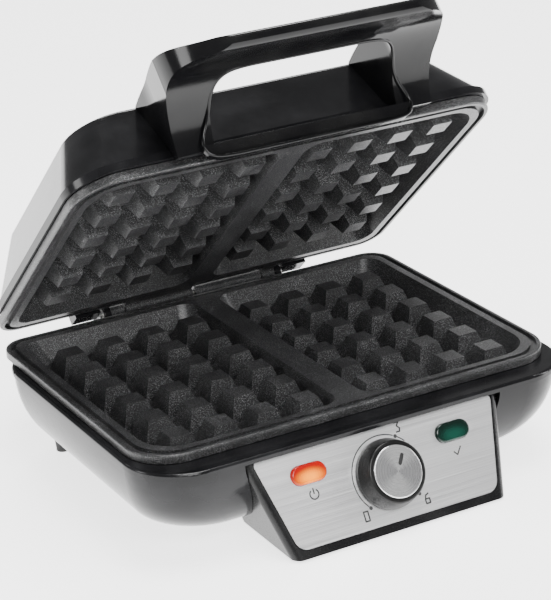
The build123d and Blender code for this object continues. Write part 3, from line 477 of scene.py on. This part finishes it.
class Paint:
    """Builds each finish once and hands it out."""

    def __init__(self, dial: Dial) -> None:
        self.dial = dial
        self.made: dict[str, bpy.types.Material] = {}
        self.builders: dict[Coating, Callable[[Graph, Finish], None]] = {
            Coating.MOULDED: self._moulded,
            Coating.SPECKLED: self._speckled,
            Coating.BRUSHED: self._brushed,
            Coating.SPUN: self._spun,
            Coating.TURNED: self._turned,
            Coating.LENS: self._lens,
            Coating.PRINT: self._moulded,
            Coating.FLOOR: self._floor,
        }

    def get(self, finish: Finish) -> bpy.types.Material:
        """The material of a finish."""
        if finish.name not in self.made:
            graph = Graph(finish.name)
            graph.set(
                Metallic=finish.metallic,
                Specular_IOR_Level=finish.specular,
            )
            self.builders[finish.coating](graph, finish)
            self.made[finish.name] = graph.material
        return self.made[finish.name]

    @staticmethod
    def _moulded(graph: Graph, finish: Finish) -> None:
        """Moulded plastic or paint: faint mottling, handling marks and a fine skin."""
        mottle = graph.noise(MOTTLE_GRAIN, 4).ramp(0.35, 0.75)
        skin = graph.noise(finish.grain, 5)
        smear = graph.noise(SMEAR_GRAIN, 5).ramp(0.45, 0.7)
        fine = skin.ramp(0.2, 0.8, finish.roughness * 0.85, finish.roughness * 1.1)
        graph.set(
            Base_Color=graph.blend(mottle, finish.colour, finish.second),
            Roughness=fine + smear * 0.05,
        )
        graph.bump(skin, finish.relief, 0.5)

    @staticmethod
    def _speckled(graph: Graph, finish: Finish) -> None:
        """Sprayed non-stick coating: dark, with pale flecks and a pebbled skin."""
        flecks = graph.speckle(finish.grain).ramp(0.42, 0.16)
        keep = graph.noise(finish.grain * 0.6, 2).ramp(0.36, 0.58)
        pebble = graph.noise(finish.grain * 0.9, 4)
        cloud = graph.noise(CLOUD_GRAIN, 3).ramp(0.3, 0.8, 0.35, 1.0)
        graph.set(
            Base_Color=graph.blend(flecks * keep * cloud, finish.colour, finish.second),
            Roughness=pebble.ramp(0.25, 0.75, finish.roughness * 0.8, finish.roughness * 1.25),
        )
        graph.bump(pebble + flecks * 0.4, finish.relief * 3, 0.6)

    @staticmethod
    def _brushed(graph: Graph, finish: Finish) -> None:
        """Sheet metal with fine straight lines along X."""
        lines = graph.noise(1.0, 6, graph.stretched((14, finish.grain, finish.grain)))
        streaks = graph.noise(1.0, 3, graph.stretched((4, finish.grain * 0.3, finish.grain * 0.3)))
        grain = lines * 0.75 + streaks * 0.25
        dull = tuple(channel * 0.9 for channel in finish.colour)
        graph.set(
            Base_Color=graph.blend(grain.ramp(0.3, 0.7), dull, finish.second),
            Roughness=grain.ramp(0.3, 0.7, finish.roughness * 0.9, finish.roughness * 1.2),
        )
        graph.bump(grain, finish.relief, 0.5)

    def _spun(self, graph: Graph, finish: Finish) -> None:
        """Turned face with fine rings, and soft fan-shaped bands of reflected light about the
        dial's axis painted into its colour.
        """
        inverse = self.dial.matrix().inverted()
        local = graph.node(
            "ShaderNodeMapping",
            "Vector",
            Vector=graph.place,
            Rotation=tuple(inverse.to_euler()),
            Location=tuple(inverse.translation),
        )
        x, y, _ = graph.axes(local)
        radius = (x * x + y * y).root()
        rings = graph.node(
            "ShaderNodeTexNoise",
            "Fac",
            {"noise_dimensions": "1D"},
            W=radius * finish.grain,
            Scale=1.0,
            Detail=4.0,
        )
        # painted highlight: bright and dark fan-shaped bands round the dial's axis, painted into
        # the cap's colour in place of reflections of the studio
        painted_fan_light = ((x.turn_from(y) * 2.0 + 0.9).sine() * 0.5 + 0.5).ramp(0.1, 0.95)
        graph.set(
            Base_Color=graph.blend(painted_fan_light * 0.8 + rings * 0.2, finish.second, PAINTED_FAN_HIGHLIGHT),
            Roughness=rings.ramp(0.3, 0.7, finish.roughness * 0.8, finish.roughness * 1.3),
        )
        graph.bump(rings, finish.relief, 0.5)

    @staticmethod
    def _turned(graph: Graph, finish: Finish) -> None:
        """Small metal parts: plating tone, heat tint and fine machining."""
        tone = graph.noise(TONE_GRAIN, 4).ramp(0.35, 0.7)
        cut = graph.noise(finish.grain, 3)
        graph.set(
            Base_Color=graph.blend(tone, finish.colour, finish.second),
            Roughness=cut.ramp(0.25, 0.75, finish.roughness * 0.8, finish.roughness * 1.3),
        )
        graph.bump(cut, finish.relief, 0.5)

    @staticmethod
    def _lens(graph: Graph, finish: Finish) -> None:
        """Moulded window, bright in its middle where the lamp stands behind it."""
        x, _, z = graph.axes(graph.offset_from(LENS_CENTRES[finish.name]))
        across, up = x / LENS_REACH[0], z / LENS_REACH[1]
        glow = (across * across + up * up).root().ramp(0.15, 1.25, 1.0, 0.0)
        prism = (x * PRISM_TURN).sine() * 0.5 + 0.5
        dim = tuple(channel * 0.35 for channel in finish.colour)
        graph.set(
            Base_Color=graph.blend(glow, finish.colour, finish.second),
            Emission_Color=graph.blend(glow * (prism * 0.25 + 0.75), dim, finish.second),
            Emission_Strength=LENS_GLOW[finish.name],
            Coat_Weight=LENS_COAT,
            Coat_Roughness=COAT_ROUGHNESS,
            Roughness=prism.ramp(0.0, 1.0, finish.roughness * 0.7, finish.roughness * 1.5),
        )
        graph.bump(prism, PRISM_HEIGHT, 0.4)

    @staticmethod
    def _floor(graph: Graph, finish: Finish) -> None:
        """Pale studio sweep with a soft sheen."""
        cloud = graph.noise(finish.grain * 0.2, 2)
        graph.set(
            Base_Color=graph.blend(cloud, finish.colour, finish.second),
            Roughness=cloud.ramp(0.0, 1.0, finish.roughness * 0.9, finish.roughness * 1.1),
            Emission_Color=(1, 1, 1, 1),
            Emission_Strength=FLOOR_GLOW,
        )


def middle(node: str) -> Vector:
    """Centre of a CAD node's box."""
    low, high = (Vector(corner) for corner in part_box(node))
    return (low + high) / 2


LENS_CENTRES = {
    RED_LENS.name: tuple(middle("power_lens")),
    GREEN_LENS.name: tuple(middle("ready_lens")),
}

NODE_FINISHES: dict[Finish, tuple[str, ...]] = {
    SHELL: ("base_housing", "lid_cover"),
    HANDLE_BLACK: ("handle",),
    CONSOLE_BLACK: ("control_housing",),
    INNER_BLACK: ("base_cover", "rear_feet", "cord_gland", "knob_pointer"),
    KNOB_BLACK: ("knob_body",),
    RUBBER: ("foot_pads",),
    NATURAL: ("terminal_block",),
    NON_STICK: ("lower_plate", "upper_plate"),
    STAINLESS: ("control_panel",),
    CAP: ("knob_cap",),
    STEEL: (
        "cover_screws",
        "lower_tray_screws",
        "upper_tray_screws",
        "lid_screws",
        "handle_screws",
        "hinge_pin",
        "hinge_clip",
        "lower_element_clips",
        "upper_element_clips",
        "thermostat",
        "thermal_fuse",
    ),
    SHEATH: ("lower_element", "upper_element"),
    TRAY: ("lower_reflector", "upper_reflector"),
    BRASS: ("thermostat_nut", "thermostat_shaft"),
    RED_LENS: ("power_lens",),
    GREEN_LENS: ("ready_lens",),
    LAMP_GLASS: ("power_lamp", "ready_lamp"),
}
SOFT_EDGES = {  # bevel widths in millimetres
    "lower_plate": 0.8,
    "upper_plate": 0.8,
    "handle": 2.0,
    "lid_cover": 0.5,
    "base_housing": 0.5,
    "control_housing": 0.7,
    "knob_body": 0.3,
}
EDGE_ANGLE = 24.0  # degrees between faces above which an edge is rounded


def dress_nodes(paint: Paint) -> None:
    """Give every CAD node its finish and round the edges of the moulded ones."""
    for finish, names in NODE_FINISHES.items():
        for name in names:
            node = frame["nodes"][name]
            for slot in node.material_slots:
                slot.link = "OBJECT"
                slot.material = paint.get(finish)
    for name, width in SOFT_EDGES.items():
        bevel = frame["nodes"][name].modifiers.new("soft_edges", "BEVEL")
        bevel.width = width * MM
        bevel.segments = 4 if width > 1 else 2
        bevel.limit_method = "ANGLE"
        bevel.angle_limit = math.radians(EDGE_ANGLE)
        bevel.harden_normals = True


# ---------------------------------------------------------------- printed marks
@dataclass
class Outline:
    """A flat shape in dial coordinates, in millimetres, built from closed loops of corners."""

    ARC_STEP = 3  # degrees
    BOLD = 0.17  # a numeral's stroke as a share of its height

    faces: list[list[tuple[float, float]]] = field(default_factory=list)

    def arc(self, start: float, end: float, radius: float, width: float) -> None:
        """Band along a circle.

        Args:
            start: First angle, in degrees clockwise from up.
            end: Last angle.
            radius: Of the band's middle line.
            width: Of the band.
        """
        steps = max(2, int(abs(end - start) / self.ARC_STEP))
        angles = [math.radians(start + (end - start) * step / steps) for step in range(steps + 1)]
        inner, outer = radius - width / 2, radius + width / 2
        for a, b in zip(angles, angles[1:]):
            self.faces.append([
                (outer * math.sin(a), outer * math.cos(a)),
                (outer * math.sin(b), outer * math.cos(b)),
                (inner * math.sin(b), inner * math.cos(b)),
                (inner * math.sin(a), inner * math.cos(a)),
            ])

    def disc(self, x: float, y: float, radius: float) -> None:
        """Filled circle."""
        ring = [math.radians(15 * step) for step in range(24)]
        self.faces.append([(x + radius * math.cos(a), y + radius * math.sin(a)) for a in ring])

    def ring(self, x: float, y: float, radius: float, width: float, gap: float = 0.0) -> None:
        """Circle drawn as a line.

        Args:
            x: Centre, to the right.
            y: Centre, up.
            radius: Of the line's middle.
            width: Of the line.
            gap: Opening at the top, in degrees.
        """
        spare = Outline()
        spare.arc(gap / 2, 360 - gap / 2, radius, width)
        self.faces += [[(x + px, y + py) for px, py in face] for face in spare.faces]

    def stroke(self, points: Iterable[tuple[float, float]], width: float) -> None:
        """Straight strokes of one width.

        Args:
            points: Places that the strokes join.
            width: Of each stroke.
        """
        path = [Vector(point) for point in points]
        for a, b in zip(path, path[1:]):
            along = (b - a).normalized() * width / 2
            side = Vector((-along.y, along.x))
            a, b = a - along * 0.4, b + along * 0.4
            self.faces.append([tuple(a + side), tuple(a - side), tuple(b - side), tuple(b + side)])

    def digit(self, value: int, x: float, y: float, size: float) -> None:
        """One numeral as straight strokes on a 2 by 4 grid.

        Args:
            value: 0, 3 or 6.
            x: Middle, to the right.
            y: Middle, up.
            size: Height.
        """
        strokes = {
            0: [(-1, 2), (1, 2), (1, -2), (-1, -2), (-1, 2)],
            3: [(-1, 2), (1, 2), (-0.1, 0.35), (1, -0.6), (0.6, -2), (-1, -2)],
            6: [(1, 2), (-0.4, 1.4), (-1, -0.4), (-1, -2), (1, -2), (1, -0.1), (-1, -0.1)],
        }
        unit = size / 4
        path = [(x + across * unit, y + up * unit) for across, up in strokes[value]]
        self.stroke(path, size * self.BOLD)


class PanelPrint:
    """Dial scale and lamp symbols as a thin film of ink on the panel."""

    RADIUS = 19.6
    LINE = 0.6
    LOW, MID, HIGH = -133.6, 30.6, 134.4
    BREAK = (47, 53)  # gap in the ring past the middle dot
    DOT = 1.0
    NUMERAL_RADIUS = 24.4
    NUMERAL = 4.8
    SYMBOL_DROP = 10.2  # from a lens's middle down to its symbol's
    SINK = 0.005
    LIFT = 0.03

    def __init__(self, dial: Dial, paint: Paint) -> None:
        self.dial = dial
        self.paint = paint

    def dial_scale(self) -> Outline:
        """Ring, three dots and their numerals."""
        marks = Outline()
        stretches = (
            (self.LOW + 3, self.MID - 4),
            (self.MID + 3, self.BREAK[0]),
            (self.BREAK[1], self.HIGH - 4),
        )
        for start, end in stretches:
            marks.arc(start, end, self.RADIUS, self.LINE)
        for value, angle in ((0, self.LOW), (3, self.MID), (6, self.HIGH)):
            across, up = math.sin(math.radians(angle)), math.cos(math.radians(angle))
            marks.disc(self.RADIUS * across, self.RADIUS * up, self.DOT)
            x, y = self.NUMERAL_RADIUS * across, self.NUMERAL_RADIUS * up
            marks.digit(value, x, y, self.NUMERAL)
        return marks

    def lamp_symbols(self) -> Outline:
        """A power sign under the red lens and a tick under the green one."""
        marks = Outline()
        x, y = self._under("power_lens")
        marks.ring(x, y, 2.4, 0.7, 70)
        marks.stroke([(x, y + 0.3), (x, y + 3.0)], 0.7)
        x, y = self._under("ready_lens")
        marks.stroke([(x - 2.1, y + 0.2), (x - 0.5, y - 1.7), (x + 2.3, y + 2.0)], 0.75)
        return marks

    def _under(self, lens: str) -> tuple[float, float]:
        """Dial coordinates of the middle of a lens's symbol."""
        offset = middle(lens) - self.dial.centre
        across = offset.dot(self.dial.right) / MM
        return across, offset.dot(self.dial.up) / MM - self.SYMBOL_DROP

    def build(self) -> None:
        """Turn the outlines into thin solid pieces on the panel."""
        films = {"dial_scale": self.dial_scale(), "lamp_symbols": self.lamp_symbols()}
        for name, marks in films.items():
            mesh = bpy.data.meshes.new(name)
            shape = bmesh.new()
            for face in marks.faces:
                corners = [shape.verts.new((px * MM, py * MM, 0)) for px, py in face]
                made = shape.faces.new(corners)
                if made.calc_area() and made.normal.z < 0:
                    made.normal_flip()
            shape.normal_update()
            solid = bmesh.ops.extrude_face_region(shape, geom=list(shape.faces))
            lifted = [item for item in solid["geom"] if isinstance(item, bmesh.types.BMVert)]
            bmesh.ops.translate(shape, verts=lifted, vec=(0, 0, self.LIFT * MM))
            bmesh.ops.recalc_face_normals(shape, faces=list(shape.faces))
            shape.transform(self.dial.matrix(self.SINK * MM))
            shape.to_mesh(mesh)
            shape.free()
            mesh.materials.append(self.paint.get(INK))
            piece = bpy.data.objects.new(name, mesh)
            bpy.context.collection.objects.link(piece)
            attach(piece, "base")


# ---------------------------------------------------------------- knob grip
class GripRibs:
    """Fine upright ribs round the knob's side, placed by a node group and then baked."""

    COUNT = 72
    RADIUS = 17.15
    LENGTH = 7.0
    WIDTH = 0.55
    LOW = 1.6
    LEAN = 1.75  # how far the knob's side draws in over a rib's length
    STAND = 0.28
    SUNK = 0.2
    ROWS = 6

    def __init__(self, dial: Dial, paint: Paint) -> None:
        self.dial = dial
        self.paint = paint

    def _group(self) -> bpy.types.NodeTree:
        """Node group: a circle of points, one rib on each, realized."""
        group = bpy.data.node_groups.new("grip_ribs", "GeometryNodeTree")
        sockets = (
            ("Geometry", "INPUT", "NodeSocketGeometry"),
            ("Count", "INPUT", "NodeSocketInt"),
            ("Radius", "INPUT", "NodeSocketFloat"),
            ("Geometry", "OUTPUT", "NodeSocketGeometry"),
        )
        for name, way, kind in sockets:
            group.interface.new_socket(name, in_out=way, socket_type=kind)
        nodes, links = group.nodes, group.links
        source, sink = nodes.new("NodeGroupInput"), nodes.new("NodeGroupOutput")
        circle = nodes.new("GeometryNodeMeshCircle")
        place = nodes.new("GeometryNodeInstanceOnPoints")
        position = nodes.new("GeometryNodeInputPosition")
        align = nodes.new("FunctionNodeAlignRotationToVector")
        align.axis = "X"
        align.pivot_axis = "Z"
        real = nodes.new("GeometryNodeRealizeInstances")
        paint = nodes.new("GeometryNodeSetMaterial")
        paint.inputs["Material"].default_value = self.paint.get(KNOB_BLACK)
        links.new(source.outputs["Count"], circle.inputs["Vertices"])
        links.new(source.outputs["Radius"], circle.inputs["Radius"])
        links.new(circle.outputs["Mesh"], place.inputs["Points"])
        links.new(source.outputs["Geometry"], place.inputs["Instance"])
        links.new(position.outputs["Position"], align.inputs["Vector"])
        links.new(align.outputs["Rotation"], place.inputs["Rotation"])
        links.new(place.outputs["Instances"], real.inputs["Geometry"])
        links.new(real.outputs["Geometry"], paint.inputs["Geometry"])
        links.new(paint.outputs["Geometry"], sink.inputs["Geometry"])
        return group

    def _rib(self) -> bpy.types.Mesh:
        """One rounded rib standing on the knob's drafted side."""
        shape = bmesh.new()
        for row in range(self.ROWS + 1):
            share = row / self.ROWS
            height = (self.LOW + self.LENGTH * share) * MM
            lean = self.LEAN * MM * share
            swell = math.sin(math.pi * min(max(share, 0.06), 0.94)) ** 0.4
            half = self.WIDTH / 2 * swell * MM
            stand = self.STAND * MM * swell
            sunk = -self.SUNK * MM
            profile = (
                (-half, sunk),
                (-half * 0.6, stand * 0.8),
                (0, stand),
                (half * 0.6, stand * 0.8),
                (half, sunk),
            )
            for across, out in profile:
                shape.verts.new((out - lean, across, height))
        shape.verts.ensure_lookup_table()
        wide = len(profile)
        for row in range(self.ROWS):
            for column in range(wide - 1):
                a = row * wide + column
                corners = (a, a + 1, a + wide + 1, a + wide)
                shape.faces.new([shape.verts[i] for i in corners])
        for base in (0, self.ROWS * wide):
            shape.faces.new([shape.verts[base + i] for i in range(wide)])
        back = [(row * wide, row * wide + wide - 1) for row in range(self.ROWS + 1)]
        for (a, b), (c, d) in zip(back, back[1:]):
            shape.faces.new([shape.verts[i] for i in (b, a, c, d)])
        bmesh.ops.recalc_face_normals(shape, faces=list(shape.faces))
        mesh = bpy.data.meshes.new("rib")
        shape.to_mesh(mesh)
        shape.free()
        return mesh

    def build(self) -> None:
        """Place, bake and hand over the ribs."""
        live = bpy.data.objects.new("live_ribs", self._rib())
        bpy.context.collection.objects.link(live)
        modifier = live.modifiers.new("ribs", "NODES")
        modifier.node_group = self._group()
        items = modifier.node_group.interface.items_tree
        sockets = {item.name: item.identifier for item in items if item.in_out == "INPUT"}
        modifier[sockets["Count"]] = self.COUNT
        modifier[sockets["Radius"]] = self.RADIUS * MM
        bpy.context.view_layer.update()
        depsgraph = bpy.context.evaluated_depsgraph_get()
        mesh = bpy.data.meshes.new_from_object(live.evaluated_get(depsgraph), depsgraph=depsgraph)
        bpy.data.objects.remove(live)
        mesh.name = "knob_ribs"
        mesh.transform(self.dial.matrix())
        mesh.shade_smooth()
        piece = bpy.data.objects.new("knob_ribs", mesh)
        bpy.context.collection.objects.link(piece)
        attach(piece, "knob")


# ---------------------------------------------------------------- handle bead
@dataclass(frozen=True)
class LidFrame:
    """The lid's own directions: x, distance ahead of the hinge and height above it when shut."""

    hinge: Vector
    angle: float

    def point(self, x: float, ahead: float, up: float) -> Vector:
        """A place in the row frame.

        Args:
            x: Millimetres to the cook's right.
            ahead: Millimetres ahead of the hinge.
            up: Millimetres above it with the lid shut.

        Returns:
            The place in metres.
        """
        c, s = math.cos(self.angle), math.sin(self.angle)
        return self.hinge + Vector((x, -ahead * c + up * s, ahead * s + up * c)) * MM


def find_lid() -> LidFrame:
    """Lid directions from the hinge joint, whose low limit is the shut lid."""
    entry = joint(Anchor.LID)
    return LidFrame(Vector(entry["pos_m"]), math.radians(-entry["range_deg"][0]))


class WindowBead:
    """Raised bead that runs round the hand opening and under the lip."""

    RADIUS = 0.9
    HALF_ROUTE = (
        (0, 195.5, -2.9),
        (25, 195.5, -2.9),
        (46, 195.5, -2.9),
        (56, 195.5, -1.6),
        (58.8, 195.6, 4),
        (57.2, 196.4, 9.5),
        (53.6, 199.4, 15.5),
        (51.9, 203.4, 20.4),
        (51.5, 207.5, 23.8),
        (50, 214, 27.4),
        (45.5, 219.6, 29.2),
        (37, 222, 29.6),
        (20, 222, 29.6),
        (0, 222, 29.6),
    )

    def __init__(self, lid: LidFrame, paint: Paint) -> None:
        self.lid = lid
        self.paint = paint

    def build(self) -> None:
        """One closed curve, right half then its mirror image."""
        route = list(self.HALF_ROUTE) + [(-x, v, w) for x, v, w in reversed(self.HALF_ROUTE[1:-1])]
        data = bpy.data.curves.new("window_bead", "CURVE")
        data.dimensions = "3D"
        data.bevel_depth = self.RADIUS * MM
        data.bevel_resolution = 3
        spline = data.splines.new("NURBS")
        spline.points.add(len(route) - 1)
        for point, place in zip(spline.points, route):
            point.co = (*self.lid.point(*place), 1.0)
        spline.order_u = 3
        spline.use_cyclic_u = True
        spline.resolution_u = 8
        data.materials.append(self.paint.get(HANDLE_BLACK))
        piece = bpy.data.objects.new("window_bead", data)
        bpy.context.collection.objects.link(piece)
        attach(piece, "lid")


# ---------------------------------------------------------------- studio
@dataclass(frozen=True)
class Softbox:
    """A rectangular light, aimed at the object.

    Attributes:
        name: Light's name.
        place: Its centre, in metres.
        size: Width and height, in metres.
        power: Watts.
    """

    name: str
    place: tuple[float, float, float]
    size: tuple[float, float]
    power: float


@dataclass(frozen=True)
class View:
    """Camera place and direction.

    Attributes:
        place: From the middle of the hinge axis, in metres.
        yaw: Degrees to the left of straight back, negative for the right.
        pitch: Degrees below level.
        roll: Degrees about its own line of sight.
        lens: Focal length in millimetres.
    """

    place: tuple[float, float, float] = (-0.52371, -1.05965, 0.47202)
    yaw: float = -28.567
    pitch: float = 22.066
    roll: float = -2.784
    lens: float = 136.14


WORLD_LIGHT = 0.32
FLOOR_REACH = 4.0
AIM_HEIGHT = 0.11
SENSOR = 36
SOFTBOXES = (
    Softbox("left_box", (-1.4, 0.3, 0.7), (0.35, 0.6), 7.0),
    Softbox("front_box", (-0.3, -1.7, 1.5), (1.5, 0.7), 46.0),
    Softbox("back_box", (0.6, 1.7, 1.6), (1.2, 0.4), 20.0),
    Softbox("top_box", (0.2, -0.1, 2.0), (0.9, 0.9), 44.0),
    Softbox("right_box", (1.6, -0.7, 0.6), (0.3, 0.9), 12.0),
)


class Studio:
    """Floor, lights, world and camera."""

    def __init__(self, paint: Paint) -> None:
        self.paint = paint
        self.target = Vector((0, 0, AIM_HEIGHT))

    def floor(self) -> None:
        """A wide pale plane under the feet."""
        mesh = bpy.data.meshes.new("floor")
        reach = FLOOR_REACH
        corners = [(-reach, -reach, 0), (reach, -reach, 0), (reach, reach, 0), (-reach, reach, 0)]
        mesh.from_pydata(corners, [], [(0, 1, 2, 3)])
        mesh.materials.append(self.paint.get(FLOOR))
        plane = bpy.data.objects.new("floor", mesh)
        bpy.context.collection.objects.link(plane)

    def lights(self) -> None:
        """Soft boxes and an even pale world."""
        for box in SOFTBOXES:
            data = bpy.data.lights.new(box.name, "AREA")
            data.shape = "RECTANGLE"
            data.size, data.size_y = box.size
            data.energy = box.power
            lamp = bpy.data.objects.new(box.name, data)
            lamp.location = box.place
            aim = self.target - Vector(box.place)
            lamp.rotation_euler = aim.to_track_quat("-Z", "Y").to_euler()
            bpy.context.collection.objects.link(lamp)
        world = bpy.data.worlds.new("pale_room")
        world.use_nodes = True
        sky = world.node_tree.nodes["Background"]
        sky.inputs["Color"].default_value = (1, 1, 1, 1)
        sky.inputs["Strength"].default_value = WORLD_LIGHT
        bpy.context.scene.world = world

    def camera(self, view: View) -> None:
        """Camera at the fitted place, with its small roll."""
        hinge = Vector(joint(Anchor.LID)["pos_m"])
        yaw, pitch, roll = (math.radians(angle) for angle in (view.yaw, view.pitch, view.roll))
        level = Vector((-math.sin(yaw), math.cos(yaw), 0))
        ahead = level * math.cos(pitch) - Vector((0, 0, math.sin(pitch)))
        right = Vector((math.cos(yaw), math.sin(yaw), 0))
        up = right.cross(ahead)
        rolled_right = right * math.cos(roll) + up * math.sin(roll)
        rolled_up = up * math.cos(roll) - right * math.sin(roll)
        data = bpy.data.cameras.new("view")
        data.lens = view.lens
        data.sensor_fit = "AUTO"
        data.sensor_width = SENSOR
        camera = bpy.data.objects.new("view", data)
        turn = Matrix((rolled_right, rolled_up, -ahead)).transposed().to_4x4()
        camera.matrix_world = Matrix.Translation(hinge + Vector(view.place)) @ turn
        bpy.context.collection.objects.link(camera)
        bpy.context.scene.camera = camera


def main() -> None:
    """Dress the model, add the small pieces and set the studio."""
    logging.basicConfig(level=logging.INFO)
    dial = find_dial()
    paint = Paint(dial)
    dress_nodes(paint)
    PanelPrint(dial, paint).build()
    GripRibs(dial, paint).build()
    WindowBead(find_lid(), paint).build()
    studio = Studio(paint)
    studio.floor()
    studio.lights()
    studio.camera(View())
    LOG.info("%d finishes made", len(paint.made))


if __name__ == "__main__":
    main()
